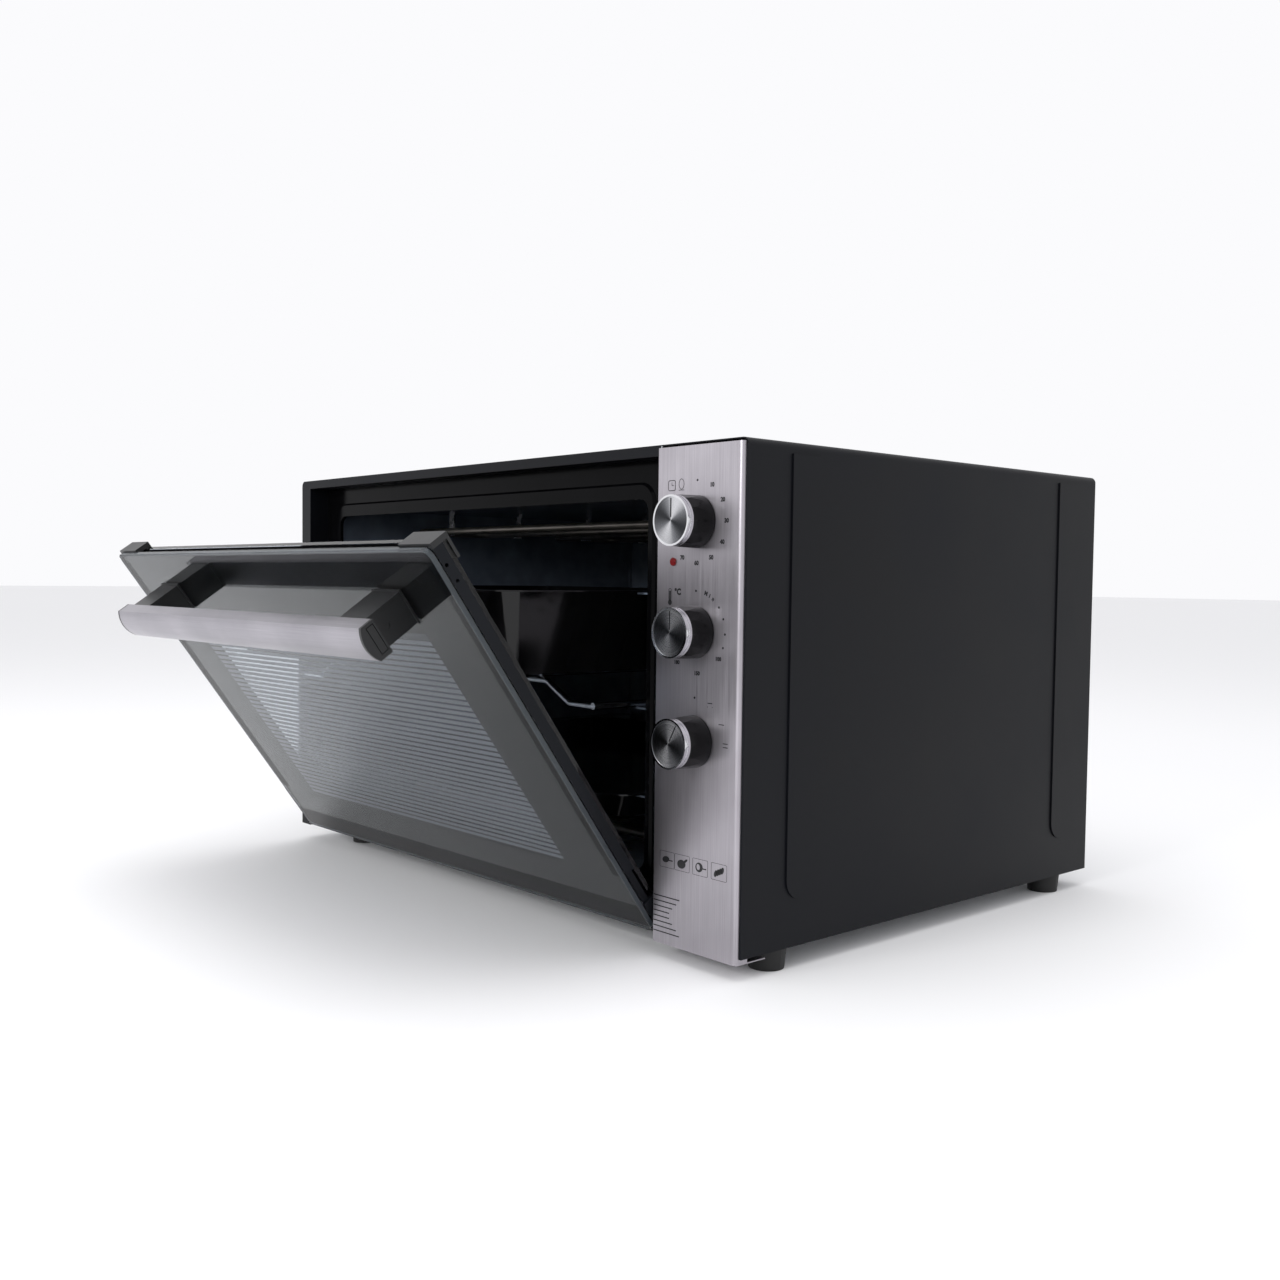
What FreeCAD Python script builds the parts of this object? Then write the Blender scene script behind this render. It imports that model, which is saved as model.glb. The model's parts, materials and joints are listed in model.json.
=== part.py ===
import FreeCAD, Part
import math
import os

V = FreeCAD.Vector

# Countertop oven with rotisserie drive, all sizes in millimetres.
# Working frame: x 0 at the left side, y 0 at the front lip of the casing, z 0 at its underside.
# Every piece is moved at the end, so that the origin is the centre of the footprint on the counter.

# ---- casing ----
CASE_W = 600.0
CASE_D = 427.0
CASE_H = 335.3
SHEET = 0.8
CASE_R = 5.0
STRIP_W = 16.5
TOP_LIP = 7.5
FRAME_SETBACK = 18.0
TONGUE_W = 28.0
TONGUE_DEPTH = 1.2
TONGUE_Z = 32.0
TONGUE_TOP_GAP = 3.0
TONGUE_FRONT_Y = 55.4
TONGUE_REAR_Y = 383.0
FOOT_H = 14.5
FOOT_R = 13.5
FOOT_X_LEFT = 55.0
FOOT_X_RIGHT_INSET = 14.0
FOOT_Y_FRONT = 39.5
FOOT_Y_REAR_INSET = 44.0

# ---- control side ----
PANEL_W = 78.8
PARTITION_T = 1.0
PANEL_EDGE_GAP = 2.0
PANEL_Y = -3.0
PANEL_DROP = 4.0
PANEL_TOP_GAP = 2.5
PANEL_FOLD_R = 3.0
PANEL_RETURN = 8.0
PANEL_FOOT_RETURN = 25.0
DIAL_INSET = 37.8
DIAL_DROP = [52.9, 125.5, 197.8]
LAMP_INSET = 15.9
LAMP_DROP = 79.1
LAMP_R = 2.8

# ---- knobs ----
KNOB_R_BASE = 17.4
KNOB_R_FACE = 16.8
KNOB_REACH = 24.0
KNOB_GAP = 0.6
KNOB_FACETS = 12
RING_LEN = 5.0
RING_WALL = 1.5
RING_GROOVE = 0.5
SHAFT_R = 3.0
RUN_FIT = 0.05
FREE_GAP = 0.5
SELECTOR_REST = 30.0

# ---- front frame and cavity ----
OPEN_X0 = 45.0
OPEN_RIGHT_BAND = 31.2
OPEN_Z0 = 36.0
OPEN_TOP_BAND = 34.3
OPEN_R = 9.0
RIM_TOP = 12.0
RIM_SIDE = 6.0
RIM_STEP = 2.0
ENAMEL_T = 1.0
CAV_SIDE_GAP = 10.0
CAV_FLOOR_DROP = 6.0
CAV_CEILING_RISE = 7.0
CAV_BACK_GAP = 27.0
CAV_T = 0.7
EMBOSS_BAND = 12.0
EMBOSS_DEPTH = 1.5

# ---- door, measured upward (t) and outward (off) from the lower front edge of its outer glass ----
DOOR_OPEN = 35.5
DOOR_SIDE_GAP = 0.5
DOOR_RIGHT_GAP = 1.2
DOOR_TOP_GAP = 2.33
GLASS_T = 4.0
INNER_GLASS_T = 3.5
PROFILE_T = 8.0
PROFILE_W = 12.0
PROFILE_START = 50.0
RAIL_H = 20.0
CAP_L = 36.0
HINGE_BACK = 14.0
HINGE_UP = 10.0
DOOR_Y = -8.41
DOOR_Z = 6.97
PIN_R = 2.5
BUSH_R = 4.5

# ---- handle ----
HANDLE_INSET = 50.0
HANDLE_H = 25.0
HANDLE_DROP = 54.5
HANDLE_STANDOFF = 31.0
HANDLE_T = 10.0
HANDLE_CROWN = 4.0
BRACKET_W = 33.0
BRACKET_INSET = 8.0
END_CAP_T = 2.5

# ---- heaters ----
ROD_R = 3.25
ROD_BEND = 15.0
ROD_FRONT_Y = 95.0
ROD_LOOP = 80.0
ROD_BACK_GAP = 55.0
ROD_LEFT = 22.0
UPPER_ROD_DROP = 20.0
LOWER_ROD_RISE = 9.0
CLIP_W = 8.0
CLIP_X = [75.0]

# ---- trays and rack ----
TRAY_SIDE_GAP = 7.0
TRAY_FLANGE = 9.0
TRAY_T = 1.0
TRAY_DRAFT = 12.0
TRAY_R = 22.0
UPPER_TRAY_DROP = 65.0
UPPER_TRAY_H = 58.0
UPPER_TRAY_BACK_GAP = 16.0
UPPER_TRAY_OUT = 126.0
LOWER_TRAY_Z = 90.0
LOWER_TRAY_H = 20.0
LOWER_TRAY_BACK_GAP = 38.0
LOWER_TRAY_OUT = 15.8
SHELF_Y0 = 12.0
GUIDE_REACH = 24.0
GUIDE_T = 1.2
GUIDE_LEG = 12.0
SLIDE_GAP = 0.4
RACK_Z = 155.0
RACK_SIDE_GAP = 12.5
RACK_BACK_GAP = 43.0
RACK_OUT = 33.9
RACK_WIRE_R = 2.5
RACK_RISE = 14.5
RACK_RAMP_X0 = 28.0
RACK_RAMP_X1 = 55.0
BAR_R = 1.4
BAR_COUNT = 12

# ---- rotisserie drive ----
SPIT_Y = 210.0
SPIT_Z = 167.0
SPINDLE_R = 4.0
SOCKET_R = 7.0
SOCKET_L = 11.0
SQUARE = 6.4

# ---- rear ----
SLOT_W = 36.0
SLOT_H = 4.0
SCREW_R = 3.6
SCREW_H = 2.2
GLAND_R = 9.0

# ---- places that follow from the sizes above ----
PANEL_X1 = CASE_W - PANEL_EDGE_GAP
PANEL_X0 = PANEL_X1 - PANEL_W
PART_X0 = PANEL_X0 - PARTITION_T
DIAL_X = PANEL_X0 + DIAL_INSET
DIAL_Z = [CASE_H - drop for drop in DIAL_DROP]
LAMP_Z = CASE_H - LAMP_DROP
CAV_BACK_Y = CASE_D - CAV_BACK_GAP
PLATE_Y = FRAME_SETBACK + 1.0
PLATE_BACK = PLATE_Y + ENAMEL_T
OPEN_X1 = PART_X0 - OPEN_RIGHT_BAND
OPEN_Z1 = CASE_H - OPEN_TOP_BAND
OPEN_MID = (OPEN_X0 + OPEN_X1) / 2
CAV_X0 = OPEN_X0 - CAV_SIDE_GAP
CAV_X1 = OPEN_X1 + CAV_SIDE_GAP
CAV_Z0 = OPEN_Z0 - CAV_FLOOR_DROP
CAV_Z1 = OPEN_Z1 + CAV_CEILING_RISE
DOOR_X0 = STRIP_W + DOOR_SIDE_GAP
DOOR_X1 = PART_X0 - DOOR_RIGHT_GAP
DOOR_W = DOOR_X1 - DOOR_X0
DOOR_H = CASE_H - TOP_LIP - DOOR_TOP_GAP - DOOR_Z
HANDLE_L = DOOR_W - 2 * HANDLE_INSET
HANDLE_T0 = DOOR_H - HANDLE_DROP
TRAY_HALF = (OPEN_X1 - OPEN_X0) / 2 - TRAY_SIDE_GAP
RACK_HALF = (OPEN_X1 - OPEN_X0) / 2 - RACK_SIDE_GAP
UPPER_TRAY_Z = OPEN_Z1 - UPPER_TRAY_DROP
UPPER_TRAY_L = CAV_BACK_Y - SHELF_Y0 - UPPER_TRAY_BACK_GAP
LOWER_TRAY_L = CAV_BACK_Y - SHELF_Y0 - LOWER_TRAY_BACK_GAP
RACK_L = CAV_BACK_Y - SHELF_Y0 - RACK_BACK_GAP
ROD_Y = [ROD_FRONT_Y, ROD_FRONT_Y + ROD_LOOP, CAV_BACK_Y - ROD_BACK_GAP - ROD_LOOP, CAV_BACK_Y - ROD_BACK_GAP]
HINGE_Y = DOOR_Y + HINGE_BACK
HINGE_Z = DOOR_Z + HINGE_UP

os.makedirs("parts", exist_ok=True)
SHIFT = V(-CASE_W / 2, -CASE_D / 2, FOOT_H)


def save(name, *solids):
    """Move the solids to the common origin and write them as one sub-part."""
    shape = solids[0] if len(solids) == 1 else Part.makeCompound(list(solids))
    shape = shape.copy()
    shape.translate(SHIFT)
    shape.exportStep("parts/%s.step" % name)


def box(x0, x1, y0, y1, z0, z1):
    return Part.makeBox(x1 - x0, y1 - y0, z1 - z0, V(x0, y0, z0))


def rod(r, start, end):
    a, b = V(*start), V(*end)
    return Part.makeCylinder(r, (b - a).Length, a, b - a)


def tube(r_out, r_in, start, end):
    return rod(r_out, start, end).cut(rod(r_in, start, end))


def fuse(shapes):
    whole = shapes[0]
    for shape in shapes[1:]:
        whole = whole.fuse(shape)
    return whole.removeSplitter()


def round_rect_wire(x0, x1, y0, y1, z, r):
    """Closed rounded rectangle in a level plane."""
    edges = []
    corners = [(x1 - r, y0 + r, -90), (x1 - r, y1 - r, 0), (x0 + r, y1 - r, 90), (x0 + r, y0 + r, 180)]
    ends = []
    for cx, cy, start in corners:
        pts = []
        for step in (0, 45, 90):
            a = math.radians(start + step)
            pts.append(V(cx + r * math.cos(a), cy + r * math.sin(a), z))
        ends.append(pts)
    for i, pts in enumerate(ends):
        edges.append(Part.Arc(*pts).toShape())
        edges.append(Part.makeLine(pts[2], ends[(i + 1) % 4][0]))
    return Part.Wire(edges)


def round_slab(x0, x1, z0, z1, y0, y1, r):
    """Upright slab with rounded corners, its thickness along y."""
    wire = round_rect_wire(x0, x1, z0, z1, 0.0, r)
    slab = Part.Face(wire).extrude(V(0, 0, y1 - y0))
    slab.rotate(V(0, 0, 0), V(1, 0, 0), 90)
    slab.translate(V(0, y1, 0))
    return slab


def bent_rod(points, bend, r):
    """Round rod along straight runs joined by tangent arcs of one radius."""
    pts = [V(*p) for p in points]
    edges = []
    start = pts[0]
    for before, corner, after in zip(pts, pts[1:], pts[2:]):
        u = (before - corner).normalize()
        w = (after - corner).normalize()
        half = u.getAngle(w) / 2
        back = bend / math.tan(half)
        p0, p2 = corner + u * back, corner + w * back
        mid_dir = (u + w).normalize()
        p1 = corner + mid_dir * (bend / math.sin(half) - bend)
        edges.append(Part.makeLine(start, p0))
        edges.append(Part.Arc(p0, p1, p2).toShape())
        start = p2
    edges.append(Part.makeLine(start, pts[-1]))
    path = Part.Wire(edges)
    ring = Part.Wire([Part.makeCircle(r, pts[0], pts[1] - pts[0])])
    return path.makePipeShell([ring], True, False)


def screw(at, axis, r=SCREW_R, h=SCREW_H):
    """Pan head with a cross recess."""
    mid = V(*at) + V(*axis) * (h * 0.5)
    head = Part.makeCylinder(r, h * 0.5, V(*at), V(*axis))
    head = head.fuse(Part.makeCone(r, r * 0.72, h * 0.5, mid, V(*axis))).removeSplitter()
    bar = Part.makeBox(r * 1.1, r * 0.26, 1.4, V(-r * 0.55, -r * 0.13, 0))
    cross = bar.fuse(Part.makeBox(r * 0.26, r * 1.1, 1.4, V(-r * 0.13, -r * 0.55, 0)))
    turn = FreeCAD.Rotation(V(0, 0, 1), V(*axis))
    cross.Placement = FreeCAD.Placement(V(*at) + V(*axis) * (h - 0.8), turn)
    return head.cut(cross)


# ---- outer wrap: left side, top and right side in one bent sheet ----
outer = box(0, CASE_W, 0, CASE_D, 0, CASE_H)
outer = outer.makeFillet(CASE_R, [e for e in outer.Edges
                                  if abs(e.BoundBox.ZMin - CASE_H) < 1e-3 and e.BoundBox.YLength > CASE_D - 1])
inner = box(SHEET, CASE_W - SHEET, -1, CASE_D + 1, -1, CASE_H - SHEET)
inner = inner.makeFillet(CASE_R - SHEET, [e for e in inner.Edges
                                          if abs(e.BoundBox.ZMin - CASE_H + SHEET) < 1e-3
                                          and e.BoundBox.YLength > CASE_D - 1])
wrap = outer.cut(inner)
front_skin = outer.common(box(0, CASE_W, 0, SHEET, 0, CASE_H))
lips = [
    front_skin.common(box(0, STRIP_W, 0, SHEET, 0, CASE_H)),
    front_skin.common(box(0, PART_X0, 0, SHEET, CASE_H - TOP_LIP, CASE_H)),
    box(STRIP_W - SHEET, STRIP_W, 0, PLATE_Y, 0, CASE_H - TOP_LIP),
    box(STRIP_W - SHEET, PART_X0, 0, PLATE_Y, CASE_H - TOP_LIP, CASE_H - TOP_LIP + SHEET),
    box(PANEL_X1, CASE_W - SHEET, 0, 6.0, 0, CASE_H - CASE_R),
]
wrap = fuse([wrap] + lips)
for side in (0, 1):
    x_face = CASE_W * side
    sign = 1 if side else -1
    for y_mid in (TONGUE_FRONT_Y, TONGUE_REAR_Y):
        r = TONGUE_W / 2
        top = CASE_H - CASE_R - TONGUE_TOP_GAP

        def tongue(x_in, x_out, rr):
            low = rod(rr, (x_in, y_mid, TONGUE_Z + r), (x_out, y_mid, TONGUE_Z + r))
            return low.fuse(box(min(x_in, x_out), max(x_in, x_out), y_mid - rr, y_mid + rr,
                                TONGUE_Z + r, top))
        skin = tongue(x_face - sign * SHEET, x_face + sign * TONGUE_DEPTH, r)
        hollow = tongue(x_face - sign * SHEET, x_face + sign * (TONGUE_DEPTH - SHEET), r - SHEET)
        wrap = wrap.fuse(skin).cut(hollow)
bush_at = [(STRIP_W - 3.5, STRIP_W), (PART_X0 - 0.6, PANEL_X0)]
bush_cut = [rod(BUSH_R, (a, HINGE_Y, HINGE_Z), (b, HINGE_Y, HINGE_Z)) for a, b in bush_at]
save("outer_wrap", wrap.cut(bush_cut[0]))

# ---- base pan and its feet ----
foot_xy = [(x, y) for x in (FOOT_X_LEFT, CASE_W - FOOT_X_RIGHT_INSET)
           for y in (FOOT_Y_FRONT, CASE_D - FOOT_Y_REAR_INSET)]
base = box(SHEET, CASE_W - SHEET, PLATE_Y, CASE_D - SHEET, 0, ENAMEL_T)
for z_side in (SHEET, CASE_W - SHEET - ENAMEL_T):
    base = base.fuse(box(z_side, z_side + ENAMEL_T, PLATE_Y, CASE_D - SHEET, 0, 14.0))
for i in range(9):
    x_mid = OPEN_MID - 160 + i * 40
    for y_mid in (120, 240):
        base = base.cut(box(x_mid - 3, x_mid + 3, y_mid, y_mid + 60, -1, ENAMEL_T + 1))
for x, y in foot_xy:
    base = base.cut(rod(2.0, (x, y, -1), (x, y, 3)))
save("base_pan", base.removeSplitter())

feet, foot_screws = [], []
for x, y in foot_xy:
    foot = Part.makeCone(FOOT_R - 1.5, FOOT_R, FOOT_H, V(x, y, -FOOT_H))
    foot = foot.cut(rod(5.0, (x, y, -FOOT_H - 1), (x, y, -5.0))).cut(rod(2.0, (x, y, -6), (x, y, 1)))
    feet.append(foot)
    pin = rod(2.0, (x, y, -5.0), (x, y, 6.0))
    foot_screws.append(pin.fuse(rod(4.0, (x, y, -7.4), (x, y, -5.0))).removeSplitter())
save("feet", *feet)
save("foot_screws", *foot_screws)

# ---- rear panel with slots, screws and the cord inlet ----
rear = box(SHEET, CASE_W - SHEET, CASE_D - SHEET, CASE_D, 0, CASE_H - SHEET)
rear = rear.common(inner)
for col in range(4):
    for row in range(9):
        x0 = 70 + col * 58
        z0 = 80 + row * 20
        rear = rear.cut(box(x0, x0 + SLOT_W, CASE_D - 3, CASE_D + 1, z0, z0 + SLOT_H))
for row in range(9):
    z0 = 150 + row * 14
    rear = rear.cut(box(PANEL_X0 + 18, PANEL_X0 + 18 + SLOT_W, CASE_D - 3, CASE_D + 1, z0, z0 + SLOT_H))
gland_x, gland_z = DIAL_X, 60.0
rear = rear.cut(rod(GLAND_R - 2.5, (gland_x, CASE_D - 3, gland_z), (gland_x, CASE_D + 1, gland_z)))
save("rear_panel", rear)
gland = fuse([rod(GLAND_R, (gland_x, CASE_D, gland_z), (gland_x, CASE_D + 8, gland_z)),
              rod(GLAND_R - 2.5, (gland_x, CASE_D - 12, gland_z), (gland_x, CASE_D, gland_z)),
              rod(GLAND_R, (gland_x, CASE_D - 5, gland_z), (gland_x, CASE_D - SHEET, gland_z))])
save("cord_inlet", gland.cut(rod(3.4, (gland_x, CASE_D - 13, gland_z), (gland_x, CASE_D + 9, gland_z))))
rear_at = [(x, z) for x in (14, CASE_W / 3, CASE_W * 2 / 3, CASE_W - 14) for z in (12, CASE_H - 14)]
rear_at += [(14, CASE_H / 2), (CASE_W - 14, CASE_H / 2)]
save("rear_screws", *[screw((x, CASE_D, z), (0, 1, 0)) for x, z in rear_at])

# ---- front frame: stepped enamel plate round the opening ----
plate = box(STRIP_W - SHEET, PART_X0, PLATE_Y, PLATE_BACK, ENAMEL_T, CASE_H - TOP_LIP + SHEET)
rim = round_slab(OPEN_X0 - RIM_SIDE, OPEN_X1 + RIM_SIDE, OPEN_Z0 - RIM_TOP, OPEN_Z1 + RIM_TOP,
                 PLATE_Y - RIM_STEP, PLATE_Y, OPEN_R + RIM_SIDE)
rim = rim.makeChamfer(RIM_STEP * 0.9, [e for e in rim.Edges
                                       if e.BoundBox.YMax < PLATE_Y - RIM_STEP + 1e-3])
hole = round_slab(OPEN_X0, OPEN_X1, OPEN_Z0, OPEN_Z1, PLATE_Y - 10, PLATE_BACK + 10, OPEN_R)
save("front_frame", plate.fuse(rim).cut(hole).removeSplitter())

# ---- cavity walls ----
rod_z = {"upper": CAV_Z1 - UPPER_ROD_DROP, "lower": CAV_Z0 + LOWER_ROD_RISE}


def side_wall(x_in, sign):
    """Cavity side with an embossed band that follows a rounded rectangle; sign points outward."""
    x_out = x_in + sign * CAV_T
    wall = box(min(x_in, x_out), max(x_in, x_out), PLATE_BACK, CAV_BACK_Y, CAV_Z0, CAV_Z1)

    def band(depth, grow):
        y0, y1 = PLATE_BACK + 18 - grow, CAV_BACK_Y - 4 + grow
        z0, z1 = CAV_Z0 + 34 - grow, CAV_Z1 - 34 + grow
        big = Part.Face(round_rect_wire(y0, y1, z0, z1, 0, 26 + grow)).extrude(V(0, 0, depth))
        s = EMBOSS_BAND + 2 * grow
        small = Part.Face(round_rect_wire(y0 + s, y1 - s, z0 + s, z1 - s, 0, 14.0 - grow))
        ring = big.cut(small.extrude(V(0, 0, depth)))
        ring.rotate(V(0, 0, 0), V(0, 1, 0), 90)
        ring.rotate(V(0, 0, 0), V(1, 0, 0), 90)
        if sign < 0:
            ring = ring.mirror(V(0, 0, 0), V(1, 0, 0))
        ring.translate(V(x_in, 0, 0))
        return ring
    wall = wall.fuse(band(EMBOSS_DEPTH + CAV_T, 1.0)).cut(band(EMBOSS_DEPTH, 0.0))
    return wall.removeSplitter()


left_wall = side_wall(CAV_X0, -1)
save("cavity_left", left_wall)
right_wall = side_wall(CAV_X1, 1)
for z in rod_z.values():
    for y in ROD_Y:
        right_wall = right_wall.cut(rod(ROD_R + 0.2, (CAV_X1 - 5, y, z), (CAV_X1 + 9, y, z)))
right_wall = right_wall.cut(rod(SPINDLE_R + FREE_GAP, (CAV_X1 - 5, SPIT_Y, SPIT_Z),
                                (CAV_X1 + 9, SPIT_Y, SPIT_Z)))
right_wall = right_wall.cut(rod(1.5, (CAV_X1 - 5, 120, DIAL_Z[1]), (CAV_X1 + 9, 120, DIAL_Z[1])))
save("cavity_right", right_wall)
save("cavity_top", box(CAV_X0 - CAV_T, CAV_X1 + CAV_T, PLATE_BACK, CAV_BACK_Y, CAV_Z1, CAV_Z1 + CAV_T))
save("cavity_floor", box(CAV_X0 - CAV_T, CAV_X1 + CAV_T, PLATE_BACK, CAV_BACK_Y, CAV_Z0 - CAV_T, CAV_Z0))
save("cavity_back", box(CAV_X0 - CAV_T, CAV_X1 + CAV_T, CAV_BACK_Y, CAV_BACK_Y + CAV_T,
                        CAV_Z0 - CAV_T, CAV_Z1 + CAV_T))
stays = []
for x0, x1 in ((SHEET, CAV_X0 - CAV_T), (CAV_X1 + CAV_T, PART_X0)):
    for z0 in (60.0, 240.0):
        stays.append(box(x0, x1, 300.0, 330.0, z0, z0 + 1.5))
save("cavity_stays", *stays)

# ---- partition between the cavity and the control side ----
partition = box(PART_X0, PANEL_X0, 0, CASE_D - SHEET, ENAMEL_T, CASE_H - SHEET)
partition = partition.cut(bush_cut[1])
partition = partition.cut(rod(SPINDLE_R + FREE_GAP, (PART_X0 - 1, SPIT_Y, SPIT_Z),
                              (PANEL_X0 + 1, SPIT_Y, SPIT_Z)))
partition = partition.cut(rod(1.5, (PART_X0 - 1, 120, DIAL_Z[1]), (PANEL_X0 + 1, 120, DIAL_Z[1])))
for row in range(6):
    partition = partition.cut(box(PART_X0 - 1, PANEL_X0 + 1, 250, 330, 220 + row * 12, 225 + row * 12))
save("partition", partition)

# ---- shelf guides on the cavity sides, each level a ledge with a leg ----
levels = {"upper": UPPER_TRAY_Z - TRAY_T - SLIDE_GAP,
          "rack": RACK_Z - RACK_WIRE_R - SLIDE_GAP,
          "lower": LOWER_TRAY_Z - TRAY_T - SLIDE_GAP}
ledges = []
for x_wall, sign in ((CAV_X0, 1), (CAV_X1, -1)):
    for z in levels.values():
        xs = sorted((x_wall, x_wall + sign * GUIDE_REACH))
        legs = sorted((x_wall, x_wall + sign * GUIDE_T))
        y0, y1 = PLATE_BACK, CAV_BACK_Y - 12
        ledge = box(xs[0], xs[1], y0, y1, z - GUIDE_T, z)
        ledges.append(ledge.fuse(box(legs[0], legs[1], y0, y1, z - GUIDE_LEG, z)).removeSplitter())
save("shelf_guides", *ledges)

# ---- heaters, their ceiling and floor clips, end plates and insulators ----
heater_clips, heater_plates, heater_beads = [], [], []
for name, z in rod_z.items():
    pairs = ((ROD_Y[0], ROD_Y[1]), (ROD_Y[2], ROD_Y[3]))
    x_bend, x_end = CAV_X0 + ROD_LEFT, CAV_X1 + 12
    loops = [bent_rod([(x_end, a, z), (x_bend, a, z), (x_bend, b, z), (x_end, b, z)], ROD_BEND, ROD_R)
             for a, b in pairs]
    save(name + "_heater", *loops)
    root = CAV_Z1 if name == "upper" else CAV_Z0
    far = z - ROD_R if name == "upper" else z + ROD_R
    away = -1 if name == "upper" else 1
    for dx in CLIP_X:
        for y in ROD_Y:
            x0 = CAV_X0 + dx
            z0, z1 = sorted((root, far + away))
            hook = box(x0, x0 + CLIP_W, y + ROD_R, y + ROD_R + 1, z0, z1)
            h0, h1 = sorted((far, far + away))
            lip = box(x0, x0 + CLIP_W, y - ROD_R, y + ROD_R + 1, h0, h1)
            heater_clips.append(hook.fuse(lip).removeSplitter())
    x_out = CAV_X1 + CAV_T
    for a, b in pairs:
        end = box(x_out, x_out + 1.2, a - 9, b + 9, z - 8, z + 8)
        for y in (a, b):
            end = end.cut(rod(ROD_R + 0.2, (x_out - 1, y, z), (x_out + 3, y, z)))
        heater_plates.append(end)
    heater_beads += [tube(5.5, ROD_R, (x_out + 1.2, y, z), (x_out + 8, y, z)) for y in ROD_Y]
save("heater_clips", *heater_clips)
save("heater_end_plates", *heater_plates)
save("heater_insulators", *heater_beads)

# ---- control panel ----
p_z0, p_z1 = -PANEL_DROP, CASE_H - PANEL_TOP_GAP
tray_out = box(PANEL_X0, PANEL_X1, PANEL_Y, PANEL_RETURN, p_z0, p_z1)
tray_out = tray_out.makeFillet(PANEL_FOLD_R, [e for e in tray_out.Edges if e.BoundBox.XMin > PANEL_X1 - 1e-3
                                              and e.BoundBox.YMax < PANEL_Y + 1e-3])
tray_in = box(PANEL_X0 + SHEET, PANEL_X1 - SHEET, PANEL_Y + SHEET, PANEL_RETURN + 1,
              p_z0 + SHEET, p_z1 - SHEET)
tray_in = tray_in.makeFillet(PANEL_FOLD_R - SHEET, [e for e in tray_in.Edges
                                                    if e.BoundBox.XMin > PANEL_X1 - SHEET - 1e-3
                                                    and e.BoundBox.YMax < PANEL_Y + SHEET + 1e-3])
panel = tray_out.cut(tray_in)
panel = panel.fuse(box(PANEL_X0, PANEL_X1, PANEL_RETURN - 1, PANEL_FOOT_RETURN, p_z0, p_z0 + SHEET))
SHAFT_HOLE = SHAFT_R + FREE_GAP
for z in DIAL_Z:
    panel = panel.cut(rod(SHAFT_HOLE, (DIAL_X, PANEL_Y - 1, z), (DIAL_X, PANEL_Y + 3, z)))
lamp_x = PANEL_X0 + LAMP_INSET
panel = panel.cut(rod(LAMP_R, (lamp_x, PANEL_Y - 1, LAMP_Z), (lamp_x, PANEL_Y + 3, LAMP_Z)))
save("control_panel", panel.removeSplitter())
back_y = PANEL_Y + SHEET
lens = rod(LAMP_R, (lamp_x, PANEL_Y - 0.8, LAMP_Z), (lamp_x, back_y, LAMP_Z))
lens = lens.fuse(rod(LAMP_R + 1.2, (lamp_x, back_y, LAMP_Z), (lamp_x, back_y + 3, LAMP_Z)))
save("indicator_lamp", lens.removeSplitter())
save("lamp_holder", rod(LAMP_R + 1.6, (lamp_x, back_y + 3, LAMP_Z), (lamp_x, back_y + 22, LAMP_Z)))

# ---- works behind the panel: timer, thermostat and selector ----
works = {"timer": (DIAL_Z[0], 21.0, 30.0),
         "thermostat": (DIAL_Z[1], 17.0, 24.0),
         "selector": (DIAL_Z[2], 16.0, 28.0)}
works_shapes = {}
for name, (z, half, depth) in works.items():
    body = box(DIAL_X - half, DIAL_X + half, back_y, back_y + depth, z - half, z + half)
    for x_ear in (-half - 7, half):
        if name != "timer":
            body = body.fuse(box(DIAL_X + x_ear, DIAL_X + x_ear + 7, back_y, back_y + 2, z - 6, z + 6))
    if name == "selector":
        for k in range(4):
            body = body.fuse(box(DIAL_X - 12 + 7 * k, DIAL_X - 11 + 7 * k, back_y + depth - 0.5,
                                 back_y + depth + 7, z - 3, z + 3))
    body = body.cut(rod(SHAFT_R + RUN_FIT, (DIAL_X, back_y - 1, z), (DIAL_X, back_y + 12.4, z)))
    works_shapes[name] = body.removeSplitter()
bell_y = back_y + works["timer"][2]
bell = Part.makeCone(15, 12, 6, V(DIAL_X, bell_y + 2, DIAL_Z[0]), V(0, 1, 0))
bell = bell.cut(Part.makeCone(14, 11, 5.2, V(DIAL_X, bell_y + 2, DIAL_Z[0]), V(0, 1, 0)))
bell = bell.fuse(rod(2, (DIAL_X, bell_y, DIAL_Z[0]), (DIAL_X, bell_y + 8, DIAL_Z[0])))
works_shapes["timer"] = works_shapes["timer"].fuse(bell).removeSplitter()
for name, shape in works_shapes.items():
    save(name + "_works", shape)
t_back = back_y + works["thermostat"][2]
bulb_x = CAV_X1 - 7
line = bent_rod([(DIAL_X, t_back, DIAL_Z[1]), (DIAL_X, 120, DIAL_Z[1]),
                 (bulb_x - 2.6, 120, DIAL_Z[1])], 8, 1.0)
bulb = rod(2.6, (bulb_x - 2.6, 112, DIAL_Z[1]), (bulb_x - 2.6, 190, DIAL_Z[1]))
save("thermostat_sensor", line.fuse(bulb).removeSplitter())
save("terminal_block", box(DIAL_X - 18, DIAL_X + 18, CASE_D - SHEET - 22, CASE_D - SHEET, 85, 103).cut(
    fuse([box(DIAL_X - 14 + 11 * k, DIAL_X - 8 + 11 * k, CASE_D - SHEET - 23, CASE_D - SHEET - 8, 90, 98)
          for k in range(3)])))

# ---- knobs: faceted body, trim ring with a groove, spun face with a pointer line, shaft ----
knob_face = PANEL_Y - KNOB_REACH
knob_base = PANEL_Y - KNOB_GAP
ring_back = knob_face + RING_LEN


def facet_ring(apothem, y):
    r = apothem / math.cos(math.pi / KNOB_FACETS)
    pts = [V(r * math.cos(2 * math.pi * k / KNOB_FACETS), y, r * math.sin(2 * math.pi * k / KNOB_FACETS))
           for k in range(KNOB_FACETS)]
    return Part.makePolygon(pts + [pts[0]])


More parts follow.
